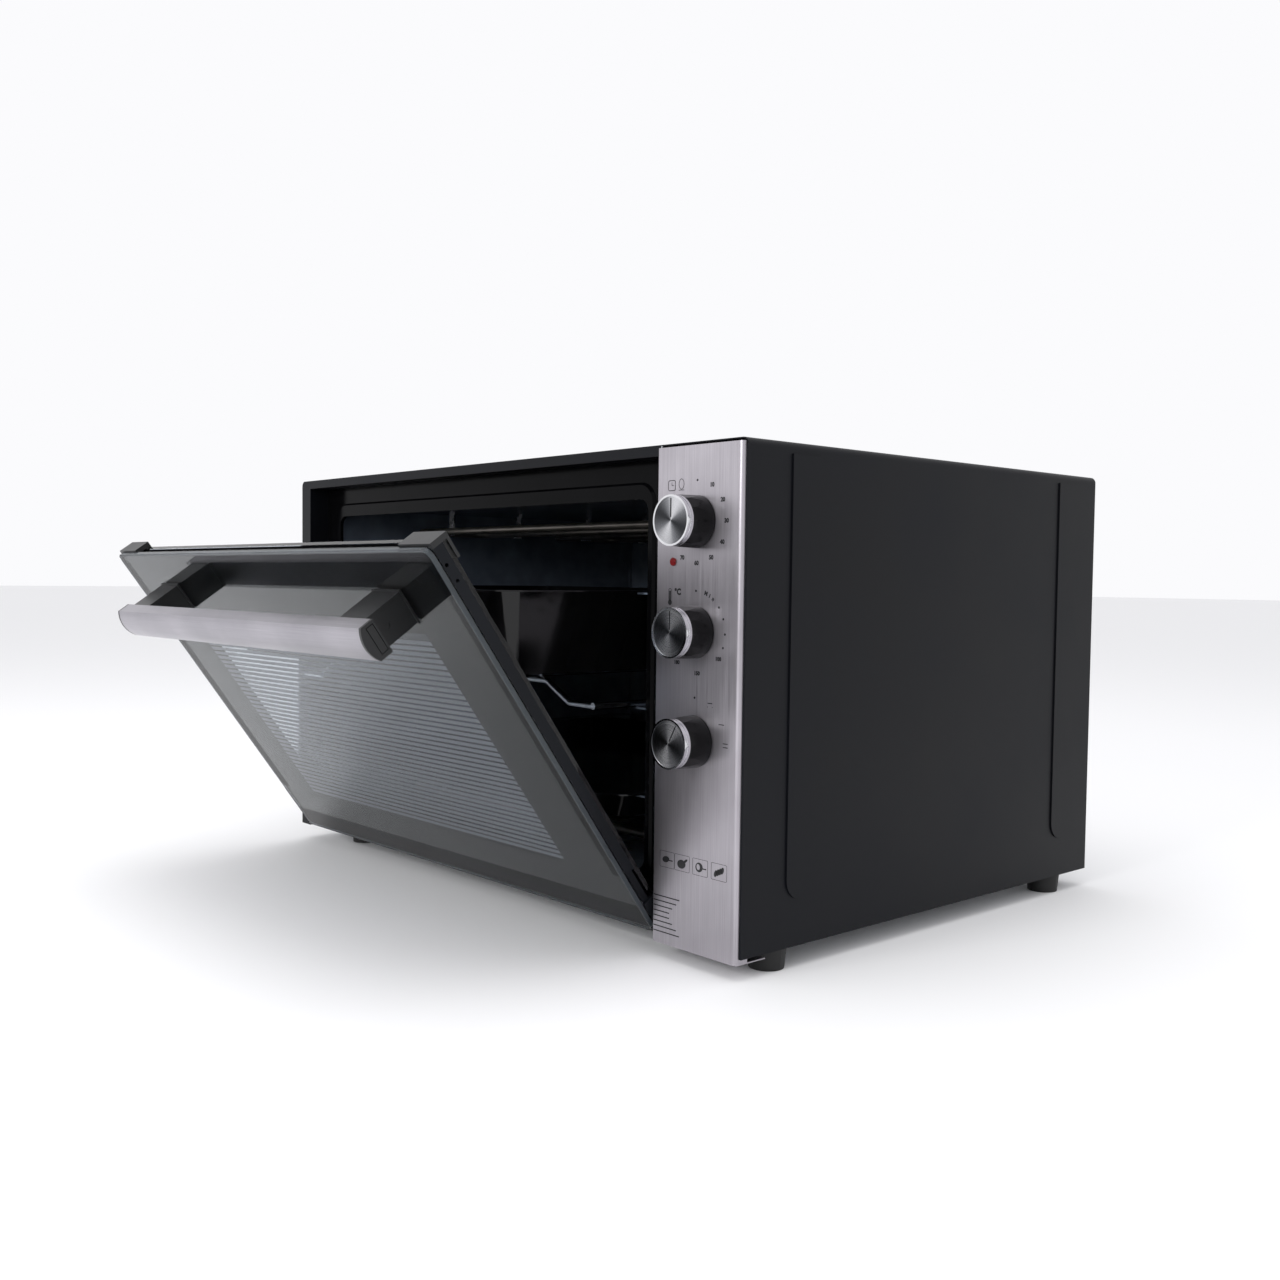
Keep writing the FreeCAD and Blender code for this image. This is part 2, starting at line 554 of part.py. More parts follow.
for name, z, rest in (("timer", DIAL_Z[0], 0.0), ("thermostat", DIAL_Z[1], 0.0),
                      ("selector", DIAL_Z[2], SELECTOR_REST)):
    cone = Part.makeCone(KNOB_R_BASE, KNOB_R_FACE, knob_base - ring_back, V(0, knob_base, 0), V(0, -1, 0))
    gem = Part.makeLoft([facet_ring(KNOB_R_BASE + 0.25, knob_base + 0.1),
                         facet_ring(KNOB_R_FACE - 0.75, ring_back - 0.1)], True, True)
    body = cone.common(gem)
    body = body.cut(rod(SHAFT_R, (0, knob_base + 1, 0), (0, knob_base - 14, 0)))
    ring = tube(KNOB_R_FACE - 0.2, KNOB_R_FACE - RING_WALL, (0, ring_back, 0), (0, knob_face, 0))
    groove = tube(KNOB_R_FACE + 1, KNOB_R_FACE - 0.2 - RING_GROOVE,
                  (0, ring_back - 1.9, 0), (0, ring_back - 2.6, 0))
    ring = ring.cut(groove)
    disc = rod(KNOB_R_FACE - RING_WALL, (0, ring_back, 0), (0, knob_face + 0.3, 0))
    disc = disc.cut(box(-0.6, 0.6, knob_face - 1, knob_face + 0.7, 2.0, KNOB_R_FACE - RING_WALL - 1.0))
    shaft = rod(SHAFT_R, (0, knob_base - 14, 0), (0, back_y + 12, 0))
    for piece, shape in (("knob", body), ("ring", ring), ("face", disc), ("shaft", shaft)):
        shape.rotate(V(0, 0, 0), V(0, 1, 0), rest)
        shape.translate(V(DIAL_X, 0, z))
        save("%s_%s" % (name, piece), shape)

# ---- rotisserie drive: motor, socket on the right wall, open bearing on the left wall ----
motor = box(PANEL_X0, PANEL_X0 + 26, SPIT_Y - 28, SPIT_Y + 28, SPIT_Z - 28, SPIT_Z + 28)
motor = motor.fuse(rod(14, (PANEL_X0 + 26, SPIT_Y, SPIT_Z), (PANEL_X0 + 44, SPIT_Y, SPIT_Z)))
motor = motor.cut(rod(SPINDLE_R + RUN_FIT, (PANEL_X0 - 1, SPIT_Y, SPIT_Z), (PANEL_X0 + 22, SPIT_Y, SPIT_Z)))
save("rotisserie_motor", motor.removeSplitter())
sock_x1 = CAV_X1 - 0.8
sock_x0 = sock_x1 - SOCKET_L
socket = rod(SOCKET_R, (sock_x0, SPIT_Y, SPIT_Z), (sock_x1, SPIT_Y, SPIT_Z))
socket = socket.fuse(rod(SPINDLE_R, (sock_x0 + 1, SPIT_Y, SPIT_Z), (PANEL_X0 + 20, SPIT_Y, SPIT_Z)))
s = SQUARE / 2
square = box(sock_x0 - 1, sock_x1 - 2, SPIT_Y - s, SPIT_Y + s, SPIT_Z - s, SPIT_Z + s)
save("drive_socket", socket.cut(square))
rest_plate = box(CAV_X0, CAV_X0 + 1.5, SPIT_Y - 14, SPIT_Y + 14, SPIT_Z - 10, SPIT_Z + 12)
arm = box(CAV_X0, CAV_X0 + 11, SPIT_Y - 9, SPIT_Y + 9, SPIT_Z - 8, SPIT_Z + 4)
arm = arm.cut(box(CAV_X0 + 1.5, CAV_X0 + 9.5, SPIT_Y - 10, SPIT_Y + 10, SPIT_Z - 6.5, SPIT_Z + 5))
notch = rod(4.5, (CAV_X0 + 9, SPIT_Y, SPIT_Z), (CAV_X0 + 12, SPIT_Y, SPIT_Z))
notch = notch.fuse(box(CAV_X0 + 9, CAV_X0 + 12, SPIT_Y - 4.5, SPIT_Y + 4.5, SPIT_Z, SPIT_Z + 6))
save("spit_bearing", rest_plate.fuse(arm).cut(notch).removeSplitter())


# ---- trays ----
def tray(y0, length, z_top, height):
    x0, x1 = OPEN_MID - TRAY_HALF, OPEN_MID + TRAY_HALF
    y1 = y0 + length
    f = TRAY_FLANGE
    d = TRAY_DRAFT + f

    def tub(wall, z_low, z_high):
        low = round_rect_wire(x0 + d + wall, x1 - d - wall, y0 + d + wall, y1 - d - wall, z_low, TRAY_R - 4)
        high = round_rect_wire(x0 + f + wall, x1 - f - wall, y0 + f + wall, y1 - f - wall, z_high, TRAY_R)
        return Part.makeLoft([low, high], True, True)
    rim = Part.Face(round_rect_wire(x0, x1, y0, y1, z_top - TRAY_T, TRAY_R + f / 2))
    flange = rim.extrude(V(0, 0, TRAY_T))
    shell = tub(0.0, z_top - height, z_top).fuse(flange)
    shell = shell.cut(tub(TRAY_T, z_top - height + TRAY_T, z_top + 0.01))
    edge = [e for e in flange.Edges if e.BoundBox.ZMin > z_top - 1e-3]
    return shell.removeSplitter() if edge else shell


save("upper_tray", tray(SHELF_Y0 - UPPER_TRAY_OUT, UPPER_TRAY_L, UPPER_TRAY_Z, UPPER_TRAY_H))
save("lower_tray", tray(SHELF_Y0 - LOWER_TRAY_OUT, LOWER_TRAY_L, LOWER_TRAY_Z, LOWER_TRAY_H))

# ---- wire rack: side rails, front and rear rails that rise to a raised middle, bars on top ----
r_y0 = SHELF_Y0 - RACK_OUT + RACK_WIRE_R
r_y1 = r_y0 + RACK_L
r_x0, r_x1 = OPEN_MID - RACK_HALF, OPEN_MID + RACK_HALF
z_hi = RACK_Z + RACK_RISE
wires = []
for y in (r_y0, r_y1):
    e0, e1 = r_x0 + RACK_WIRE_R, r_x1 - RACK_WIRE_R
    wires.append(bent_rod([(e0, y, RACK_Z), (r_x0 + RACK_RAMP_X0, y, RACK_Z),
                           (r_x0 + RACK_RAMP_X1, y, z_hi), (r_x1 - RACK_RAMP_X1, y, z_hi),
                           (r_x1 - RACK_RAMP_X0, y, RACK_Z), (e1, y, RACK_Z)], 8.0, RACK_WIRE_R))
for x in (r_x0, r_x1):
    wires.append(rod(RACK_WIRE_R, (x, r_y0 - RACK_WIRE_R, RACK_Z), (x, r_y1 + RACK_WIRE_R, RACK_Z)))
bar_z = z_hi + RACK_WIRE_R + BAR_R
span = (r_x1 - RACK_RAMP_X1) - (r_x0 + RACK_RAMP_X1)
for k in range(BAR_COUNT):
    x = r_x0 + RACK_RAMP_X1 + 6 + (span - 12) * k / (BAR_COUNT - 1)
    wires.append(rod(BAR_R, (x, r_y0 - 1.5, bar_z), (x, r_y1 + 1.5, bar_z)))
save("wire_rack", *wires)


# ---- door pieces are drawn closed and then swung open about the hinge axis ----
def d_box(x0, x1, t0, t1, off0, off1):
    return box(x0, x1, DOOR_Y - off1, DOOR_Y - off0, DOOR_Z + t0, DOOR_Z + t1)


def save_door(name, *solids):
    out = []
    for solid in solids:
        turned = solid.copy()
        turned.rotate(V(0, HINGE_Y, HINGE_Z), V(1, 0, 0), DOOR_OPEN)
        out.append(turned)
    save(name, *out)


def d_rod(r, x0, x1, t, off):
    y, z = DOOR_Y - off, DOOR_Z + t
    return rod(r, (x0, y, z), (x1, y, z))


inner_off = -GLASS_T - PROFILE_T
pane = d_box(DOOR_X0, DOOR_X1, 0, DOOR_H, -GLASS_T, 0)
pane = pane.makeFillet(7.0, [e for e in pane.Edges if e.BoundBox.YLength > GLASS_T - 0.1
                             and e.BoundBox.ZMin > DOOR_Z + DOOR_H - 1])
save_door("outer_glass", pane.makeChamfer(0.5, [e for e in pane.Edges if e.BoundBox.YMax < DOOR_Y + 1e-3]))
back_off = inner_off - INNER_GLASS_T
top_t = DOOR_H - 2.5
save_door("inner_glass", d_box(DOOR_X0 + 1, DOOR_X1 - 1, RAIL_H + 2, top_t, back_off, inner_off))
channels = []
sides = (("left", DOOR_X0, DOOR_X0 + PROFILE_W, DOOR_X0), ("right", DOOR_X1 - PROFILE_W, DOOR_X1, DOOR_X1))
for side, x0, x1, face in sides:
    channel = d_box(x0, x1, PROFILE_START, top_t, inner_off, -GLASS_T)
    web = 1.5
    cx0, cx1 = (x0 + web, x1 + 1) if side == "left" else (x0 - 1, x1 - web)
    channel = channel.cut(d_box(cx0, cx1, PROFILE_START - 1, top_t + 1, inner_off + web, -GLASS_T - web))
    for t, off, r in ((303.0, -GLASS_T - 2.5, 1.3), (291.0, -GLASS_T - 3.5, 1.2)):
        channel = channel.cut(d_rod(r, face - 5, face + 5, t, off))
    channels.append(channel)
save_door("door_profiles", *channels)
leaves = []
for side, x0, x1, face in sides:
    leaf = d_box(x0 + 2, x1 - 2, RAIL_H + 2, PROFILE_START + 14, inner_off + 1.5, -GLASS_T - 1.5)
    leaves.append(leaf)
bottom = d_box(DOOR_X0, DOOR_X1, 2, RAIL_H + 2, back_off, -GLASS_T)
bottom = bottom.cut(d_box(DOOR_X0 + 14, DOOR_X1 - 14, 3.5, RAIL_H + 0.5, back_off + 1.5, -GLASS_T - 1.5))
pin_cut = [d_rod(PIN_R, DOOR_X0 - 1, DOOR_X0 + 12, HINGE_UP, -HINGE_BACK),
           d_rod(PIN_R, DOOR_X1 - 12, DOOR_X1 + 1, HINGE_UP, -HINGE_BACK)]
save_door("door_bottom_rail", bottom.cut(pin_cut[0]).cut(pin_cut[1]))
save_door("hinge_leaves", *leaves)
save_door("hinge_pins",
          rod(PIN_R, (bush_at[0][0] + 0.5, HINGE_Y, HINGE_Z), (DOOR_X0 + 12, HINGE_Y, HINGE_Z)),
          rod(PIN_R, (DOOR_X1 - 12, HINGE_Y, HINGE_Z), (PANEL_X0 - 0.2, HINGE_Y, HINGE_Z)))
bushes = [cut.cut(rod(PIN_R + RUN_FIT, (a - 1, HINGE_Y, HINGE_Z), (b + 1, HINGE_Y, HINGE_Z)))
          for cut, (a, b) in zip(bush_cut, bush_at)]
save("hinge_bushes", *bushes)
caps = []
for side, x0, x1, face in sides:
    cx0, cx1 = (face, face + CAP_L) if side == "left" else (face - CAP_L, face)
    cap = d_box(cx0, cx1, top_t, DOOR_H + 1.5, back_off - 2.2, -GLASS_T)
    cap = cap.fuse(d_box(cx0, cx1, top_t - 14, DOOR_H + 1.5, back_off - 2.2, back_off))
    caps.append(cap.removeSplitter())
save_door("door_corner_caps", *caps)

# ---- handle ----
h_x0 = DOOR_X0 + (DOOR_W - HANDLE_L) / 2
h_x1 = h_x0 + HANDLE_L
h_t1 = HANDLE_T0 + HANDLE_H


def handle_section(x0, x1, off0, off1, t0, t1, crown):
    """Flat bar whose outer face is crowned."""
    pts = [(off0, t0), (off1, t0), (off1 + crown, (t0 + t1) / 2), (off1, t1), (off0, t1)]
    v = [V(x0, DOOR_Y - o, DOOR_Z + t) for o, t in pts]
    edges = [Part.makeLine(v[0], v[1]), Part.Arc(v[1], v[2], v[3]).toShape(),
             Part.makeLine(v[3], v[4]), Part.makeLine(v[4], v[0])]
    return Part.Face(Part.Wire(edges)).extrude(V(x1 - x0, 0, 0))


o0, o1 = HANDLE_STANDOFF, HANDLE_STANDOFF + HANDLE_T
save_door("handle_bar", handle_section(h_x0, h_x1, o0, o1, HANDLE_T0, h_t1, HANDLE_CROWN))
ends, brackets, grub = [], [], []
for x_in, x_out, sign in ((h_x0, h_x0 - END_CAP_T, -1), (h_x1, h_x1 + END_CAP_T, 1)):
    xs = sorted((x_in, x_out))
    end = handle_section(xs[0], xs[1], o0, o1, HANDLE_T0, h_t1, HANDLE_CROWN)
    inset = sorted((x_out, x_out - sign * 0.8))
    frame_cut = d_box(inset[0], inset[1], HANDLE_T0 + 3, h_t1 - 2, o0 + 1.5, o1 - 2.5)
    plug = d_box(inset[0], inset[1], HANDLE_T0 + 3.6, h_t1 - 2.6, o0 + 2.1, o1 - 3.1)
    ends.append(end.cut(frame_cut).fuse(plug).removeSplitter())
    b0, b1 = sorted((x_in - sign * BRACKET_INSET, x_in - sign * (BRACKET_INSET + BRACKET_W)))
    post = d_box(b0, b1, HANDLE_T0, h_t1 - 1, 1.5, o0)
    flange = d_box(b0 - 1, b1 + 1, HANDLE_T0 - 1, h_t1, 0, 1.5)
    face = x_in - sign * BRACKET_INSET
    grub_x = sorted((face, face - sign * 1.6))
    t_mid, off_mid = HANDLE_T0 + 12, HANDLE_STANDOFF * 2 / 3
    post = post.fuse(flange).cut(d_rod(2.6, grub_x[0], grub_x[1], t_mid, off_mid))
    brackets.append(post.removeSplitter())
    g = d_rod(2.6, grub_x[0] + 0.4, grub_x[1], t_mid, off_mid) if sign < 0 else \
        d_rod(2.6, grub_x[0], grub_x[1] - 0.4, t_mid, off_mid)
    grub.append(g)
save_door("handle_end_caps", *ends)
save_door("handle_brackets", *brackets)
save_door("handle_screws", *grub)

print("hinge", HINGE_Y + SHIFT.y, HINGE_Z + SHIFT.z)
print("dials", DIAL_X + SHIFT.x, [z + SHIFT.z for z in DIAL_Z])
print("spit", SPIT_Y + SHIFT.y, SPIT_Z + SHIFT.z)
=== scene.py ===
import json
import math
import bmesh
import bpy
from mathutils import Matrix, Vector


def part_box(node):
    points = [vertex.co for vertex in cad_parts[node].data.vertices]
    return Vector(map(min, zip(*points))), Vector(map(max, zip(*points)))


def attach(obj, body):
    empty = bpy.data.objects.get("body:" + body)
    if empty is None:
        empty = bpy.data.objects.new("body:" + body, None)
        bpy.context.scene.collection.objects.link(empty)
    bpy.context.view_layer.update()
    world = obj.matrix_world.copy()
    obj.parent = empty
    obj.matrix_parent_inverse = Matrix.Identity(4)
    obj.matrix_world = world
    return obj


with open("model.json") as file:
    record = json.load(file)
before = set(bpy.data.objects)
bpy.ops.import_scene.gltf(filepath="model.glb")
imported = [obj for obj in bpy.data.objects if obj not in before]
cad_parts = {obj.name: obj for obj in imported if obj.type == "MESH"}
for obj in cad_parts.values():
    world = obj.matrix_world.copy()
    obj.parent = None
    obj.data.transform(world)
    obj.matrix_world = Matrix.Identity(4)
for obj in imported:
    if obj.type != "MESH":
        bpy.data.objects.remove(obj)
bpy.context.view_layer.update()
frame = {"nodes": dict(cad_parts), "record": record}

MM = 0.001
NODES = frame["nodes"]
JOINTS = {j["name"]: j for j in frame["record"]["behaviour"]["joints"]}


# ---------------------------------------------------------------- small tools
def srgb(hex_text):
    """sRGB hex to linear colour."""
    out = []
    for i in (0, 2, 4):
        c = int(hex_text.lstrip("#")[i:i + 2], 16) / 255
        out.append(c / 12.92 if c <= 0.04045 else ((c + 0.055) / 1.055) ** 2.4)
    return (*out, 1.0)


def add(tree, kind, links=None, **settings):
    """Add one node. Settings are its properties or socket values; links go from socket to source."""
    n = tree.nodes.new(kind)
    for key, value in settings.items():
        if hasattr(n, key) and key not in n.inputs:
            setattr(n, key, value)
        else:
            n.inputs[key].default_value = value
    for key, source in (links or {}).items():
        tree.links.new(source, n.inputs[key])
    return n


def material(name):
    """A new material with its shader and object coordinates."""
    m = bpy.data.materials.new(name)
    m.use_nodes = True
    t = m.node_tree
    t.nodes.clear()
    out = add(t, "ShaderNodeOutputMaterial")
    s = add(t, "ShaderNodeBsdfPrincipled")
    t.links.new(s.outputs[0], out.inputs[0])
    co = add(t, "ShaderNodeTexCoord").outputs["Object"]
    return m, t, s, co


def shade(s, **values):
    for key, value in values.items():
        s.inputs[key.replace("_", " ")].default_value = value


def ramp(t, source, stops):
    """Colour ramp through (position, hex or grey) stops."""
    n = add(t, "ShaderNodeValToRGB", {"Fac": source})
    e = n.color_ramp.elements
    while len(e) < len(stops):
        e.new(0.5)
    for item, (pos, c) in zip(e, stops):
        item.position = pos
        item.color = srgb(c) if isinstance(c, str) else (c, c, c, 1)
    return n.outputs[0]


def bump(t, s, height, distance, strength=1.0):
    n = add(t, "ShaderNodeBump", {"Height": height}, Distance=distance, Strength=strength)
    t.links.new(n.outputs[0], s.inputs["Normal"])
    return n


def stretched(t, co, sx, sy, sz, detail=4.0):
    """Noise with its own grain size in metres along each axis."""
    mp = add(t, "ShaderNodeMapping", {"Vector": co})
    mp.inputs["Scale"].default_value = (1 / sx, 1 / sy, 1 / sz)
    noise = add(t, "ShaderNodeTexNoise", {"Vector": mp.outputs[0]}, Scale=1.0, Detail=detail, Roughness=0.6)
    return noise.outputs[0]


# ---------------------------------------------------------------- finishes
def powder_coat(name, hex_color, hex_light):
    # Polyester powder coat on sheet steel: fine 0.9 mm grain, a soft wide sheen and faint handling marks.
    m, t, s, co = material(name)
    grain = add(t, "ShaderNodeTexNoise", {"Vector": co}, Scale=1100.0, Detail=3.0).outputs[0]
    cloud = add(t, "ShaderNodeTexNoise", {"Vector": co}, Scale=9.0, Detail=5.0).outputs[0]
    t.links.new(ramp(t, cloud, [(0.3, hex_color), (0.75, hex_light)]), s.inputs["Base Color"])
    t.links.new(ramp(t, cloud, [(0.3, 0.40), (0.75, 0.52)]), s.inputs["Roughness"])
    shade(s, IOR=1.5, Specular_IOR_Level=0.15)
    bump(t, s, grain, 0.00006, 0.5)
    return m


def enamel(name, hex_color, rough, hex_cloud=None, shine=0.35):
    # Vitreous enamel fired on steel: deep glassy colour with a slow waviness and fine orange peel.
    m, t, s, co = material(name)
    wave = add(t, "ShaderNodeTexNoise", {"Vector": co}, Scale=45.0, Detail=2.0).outputs[0]
    t.links.new(ramp(t, wave, [(0.3, hex_color), (0.8, hex_cloud or hex_color)]), s.inputs["Base Color"])
    t.links.new(ramp(t, wave, [(0.25, rough), (0.8, rough + 0.07)]), s.inputs["Roughness"])
    shade(s, IOR=1.52, Specular_IOR_Level=shine)
    bump(t, s, wave, 0.00025, 0.35)
    return m


def brushed(name, hex_dark, hex_light, axis, rough, grain=0.00035, run=0.05):
    # Brushed metal: short scratches along one axis, spreading the highlight across them.
    m, t, s, co = material(name)
    size = [grain, grain, grain]
    size[axis] = run
    lines = stretched(t, co, *size)
    broad = add(t, "ShaderNodeTexNoise", {"Vector": co}, Scale=14.0, Detail=3.0).outputs[0]
    both = add(t, "ShaderNodeMath", {0: lines, 1: broad}, operation="MULTIPLY").outputs[0]
    t.links.new(ramp(t, both, [(0.1, hex_dark), (0.45, hex_light)]), s.inputs["Base Color"])
    t.links.new(ramp(t, lines, [(0.2, rough - 0.06), (0.8, rough + 0.08)]), s.inputs["Roughness"])
    shade(s, Metallic=1.0, Anisotropic=0.5)
    bump(t, s, lines, 0.00003, 0.35)
    return m


def galvanised(name):
    # Hot-dip galvanised sheet: crystals about 9 mm across, each a slightly different grey.
    m, t, s, co = material(name)
    cell = add(t, "ShaderNodeTexVoronoi", {"Vector": co}, Scale=110.0)
    grey = ramp(t, cell.outputs["Color"], [(0.0, "#8d9094"), (1.0, "#b4b7ba")])
    t.links.new(grey, s.inputs["Base Color"])
    t.links.new(ramp(t, cell.outputs["Color"], [(0.0, 0.32), (1.0, 0.5)]), s.inputs["Roughness"])
    shade(s, Metallic=0.95)
    return m


def plated(name, hex_color, rough):
    # Plated steel wire or trim: bright, with a faint uneven polish.
    m, t, s, co = material(name)
    n = add(t, "ShaderNodeTexNoise", {"Vector": co}, Scale=160.0, Detail=3.0).outputs[0]
    t.links.new(ramp(t, n, [(0.3, rough), (0.75, rough + 0.08)]), s.inputs["Roughness"])
    t.links.new(ramp(t, n, [(0.2, hex_color), (0.9, "#f2f2f4")]), s.inputs["Base Color"])
    shade(s, Metallic=1.0)
    bump(t, s, n, 0.00002, 0.3)
    return m


def moulded(name, hex_color, rough, grain_mm=0.5, depth=0.00003, shine=0.5):
    # Moulded plastic: even colour with a fine spark-eroded grain from the mould; shine is the gloss.
    m, t, s, co = material(name)
    n = add(t, "ShaderNodeTexNoise", {"Vector": co}, Scale=1000.0 / grain_mm, Detail=2.0).outputs[0]
    slow = add(t, "ShaderNodeTexNoise", {"Vector": co}, Scale=30.0, Detail=2.0).outputs[0]
    t.links.new(ramp(t, slow, [(0.3, rough), (0.8, rough + 0.07)]), s.inputs["Roughness"])
    shade(s, Base_Color=srgb(hex_color), IOR=1.49, Specular_IOR_Level=shine)
    bump(t, s, n, depth, 0.5)
    return m


def heater_sheath(name):
    # Heated steel sheath: dull grey-brown oxide with slow colour changes along the tube.
    m, t, s, co = material(name)
    n = add(t, "ShaderNodeTexNoise", {"Vector": co}, Scale=26.0, Detail=4.0).outputs[0]
    t.links.new(ramp(t, n, [(0.25, "#5b5855"), (0.55, "#8a857f"), (0.8, "#6d6a70")]), s.inputs["Base Color"])
    t.links.new(ramp(t, n, [(0.2, 0.3), (0.8, 0.45)]), s.inputs["Roughness"])
    shade(s, Metallic=0.9)
    return m


def spun(name, centre, hex_dark, hex_light):
    # Aluminium face turned on a lathe: rings 0.35 mm apart that fan the light out from the middle. The base
    # colour also carries a painted fan highlight: going round the centre, it runs from hex_dark in two
    # shaded wedges to hex_light and near-white in two lit wedges.
    m, t, s, co = material(name)
    off = add(t, "ShaderNodeVectorMath", {0: co}, operation="SUBTRACT")
    off.inputs[1].default_value = centre
    flat = add(t, "ShaderNodeVectorMath", {0: off.outputs[0]}, operation="MULTIPLY")
    flat.inputs[1].default_value = (1, 0, 1)
    radius = add(t, "ShaderNodeVectorMath", {0: flat.outputs[0]}, operation="LENGTH").outputs["Value"]
    rings = add(t, "ShaderNodeTexNoise", noise_dimensions="1D", Scale=2800.0, Detail=2.0)
    t.links.new(radius, rings.inputs["W"])
    part = add(t, "ShaderNodeSeparateXYZ", {0: off.outputs[0]})
    angle = add(t, "ShaderNodeMath", {0: part.outputs["X"], 1: part.outputs["Z"]},
                operation="ARCTAN2").outputs[0]
    turn = add(t, "ShaderNodeMath", {0: angle}, operation="MULTIPLY_ADD")
    turn.inputs[1].default_value = 2.0
    turn.inputs[2].default_value = -0.9
    # Painted highlight: the cosine of twice the angle gives two lit and two shaded wedges in the base
    # colour.
    painted_fan_highlight = add(t, "ShaderNodeMath", {0: turn.outputs[0]}, operation="COSINE").outputs[0]
    soft = add(t, "ShaderNodeMapRange", {"Value": painted_fan_highlight})
    soft.inputs["From Min"].default_value = -1.0
    soft.inputs["From Max"].default_value = 1.0
    # Colour of the painted fan highlight, from the shaded wedges to the lit ones.
    fan_highlight_tone = ramp(t, soft.outputs[0], [(0.0, hex_dark), (0.6, hex_light), (1.0, "#d6d6d9")])
    t.links.new(fan_highlight_tone, s.inputs["Base Color"])
    t.links.new(ramp(t, rings.outputs[0], [(0.2, 0.22), (0.8, 0.34)]), s.inputs["Roughness"])
    shade(s, Metallic=1.0, Anisotropic=0.6)
    lathe = add(t, "ShaderNodeTangent", direction_type="RADIAL", axis="Y")
    t.links.new(lathe.outputs[0], s.inputs["Tangent"])
    bump(t, s, rings.outputs[0], 0.00002, 0.4)
    return m


def clear_glass(name, tint, rough, ior=1.5):
    # Toughened float glass with a faint green-grey tint. The index is set below real glass, so a pale
    # room does not wash out the black print behind it.
    m, t, s, co = material(name)
    smear = add(t, "ShaderNodeTexNoise", {"Vector": co}, Scale=12.0, Detail=4.0).outputs[0]
    t.links.new(ramp(t, smear, [(0.3, rough), (0.8, rough + 0.03)]), s.inputs["Roughness"])
    shade(s, Base_Color=srgb(tint), IOR=ior, Transmission_Weight=1.0)
    return m


def print_ink(name, hex_color, rough, shine=0.5):
    # Screen-printed ink: an even, slightly matt film with pinholes too small to see past 0.3 mm.
    m, t, s, co = material(name)
    n = add(t, "ShaderNodeTexNoise", {"Vector": co}, Scale=900.0, Detail=2.0).outputs[0]
    t.links.new(ramp(t, n, [(0.2, rough), (0.8, rough + 0.1)]), s.inputs["Roughness"])
    shade(s, Base_Color=srgb(hex_color), IOR=1.5, Specular_IOR_Level=shine)
    return m


def lens_red(name):
    # Moulded polycarbonate lens: deep red, glossy, faint ribs behind it.
    m, t, s, co = material(name)
    n = add(t, "ShaderNodeTexWave", {"Vector": co}, Scale=350.0, Distortion=0.5).outputs["Color"]
    t.links.new(ramp(t, n, [(0.0, "#3c0405"), (1.0, "#7c0d12")]), s.inputs["Base Color"])
    shade(s, Roughness=0.12, IOR=1.58, Coat_Weight=0.8)
    return m


FINISH = {
    "casing_black": powder_coat("powder_coated_steel", "#08090d", "#0c0e14"),
    "base_galvanised": galvanised("galvanised_sheet"),
    "frame_enamel": enamel("front_enamel", "#050506", 0.12, "#08080a", 0.05),
    "cavity_enamel": enamel("cavity_enamel", "#59626f", 0.20, "#6a7482", 0.5),
    "tray_enamel": enamel("tray_enamel", "#060607", 0.08, "#0b0b0c"),
    "panel_steel": brushed("brushed_stainless", "#9d999f", "#bcb8be", 2, 0.34),
    "heater_steel": heater_sheath("heater_sheath"),
    "bright_steel": plated("zinc_plated_steel", "#b9bbbe", 0.24),
    "rack_chrome": plated("chrome_wire", "#cfd1d5", 0.09),
    "trim_chrome": plated("chrome_trim", "#d9dadd", 0.06),
    "handle_aluminium": brushed("satin_anodised_aluminium", "#96949a", "#b6b3b9", 0, 0.36, 0.0003, 0.06),
    "profile_steel": powder_coat("door_channel_paint", "#0e1014", "#14171c"),
    "gloss_black": moulded("phenolic_black", "#040405", 0.16, 0.8, 0.00001, 0.2),
    "satin_black": moulded("nylon_black", "#101113", 0.36, 0.45, 0.00004),
    "rubber_black": moulded("foot_rubber", "#0d0d0e", 0.62, 0.9, 0.00006),
    "lamp_red": lens_red("lamp_lens"),
    "ceramic_white": moulded("steatite", "#d9d3c4", 0.55, 0.6, 0.00005),
    "white_plastic": moulded("nylon_natural", "#cfcabd", 0.42, 0.6),
    "door_glass_outer": clear_glass("outer_float_glass", "#e4e8ea", 0.0, 1.22),
    "door_glass_inner": clear_glass("inner_float_glass", "#dde2ea", 0.02, 1.4),
    "brass": plated("brass", "#b08a4e", 0.28),
}
INK_BLACK = print_ink("panel_print", "#111114", 0.35)
GLASS_PRINT = print_ink("ceramic_frit_black", "#08080a", 0.4, 0.1)
GLASS_LINES = print_ink("frit_lines", "#6d707a", 0.4)
GLASS_EDGE = print_ink("ground_glass_edge", "#464b50", 0.35)

for name, obj in NODES.items():
    slot = next(p["material_slot"] for p in frame["record"]["subparts"] if p["node"] == name)
    if slot == "knob_face_aluminium":
        j = JOINTS[name.split("_")[0] + "_turn"]
        # The two colours are the shaded and lit wedges of the painted fan highlight on the knob face.
        finish = spun("spun_aluminium_painted_fan_" + name, j["pos_m"], "#38393c", "#828387")
    else:
        finish = FINISH[slot]
    obj.data.materials.clear()
    obj.data.materials.append(finish)


# ---------------------------------------------------------------- making pieces
def to_mesh_object(name, bm, mat, body):
    me = bpy.data.meshes.new(name)
    bmesh.ops.recalc_face_normals(bm, faces=bm.faces)
    bm.to_mesh(me)
    bm.free()
    obj = bpy.data.objects.new(name, me)
    bpy.context.scene.collection.objects.link(obj)
    me.materials.append(mat)
    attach(obj, body)
    return obj


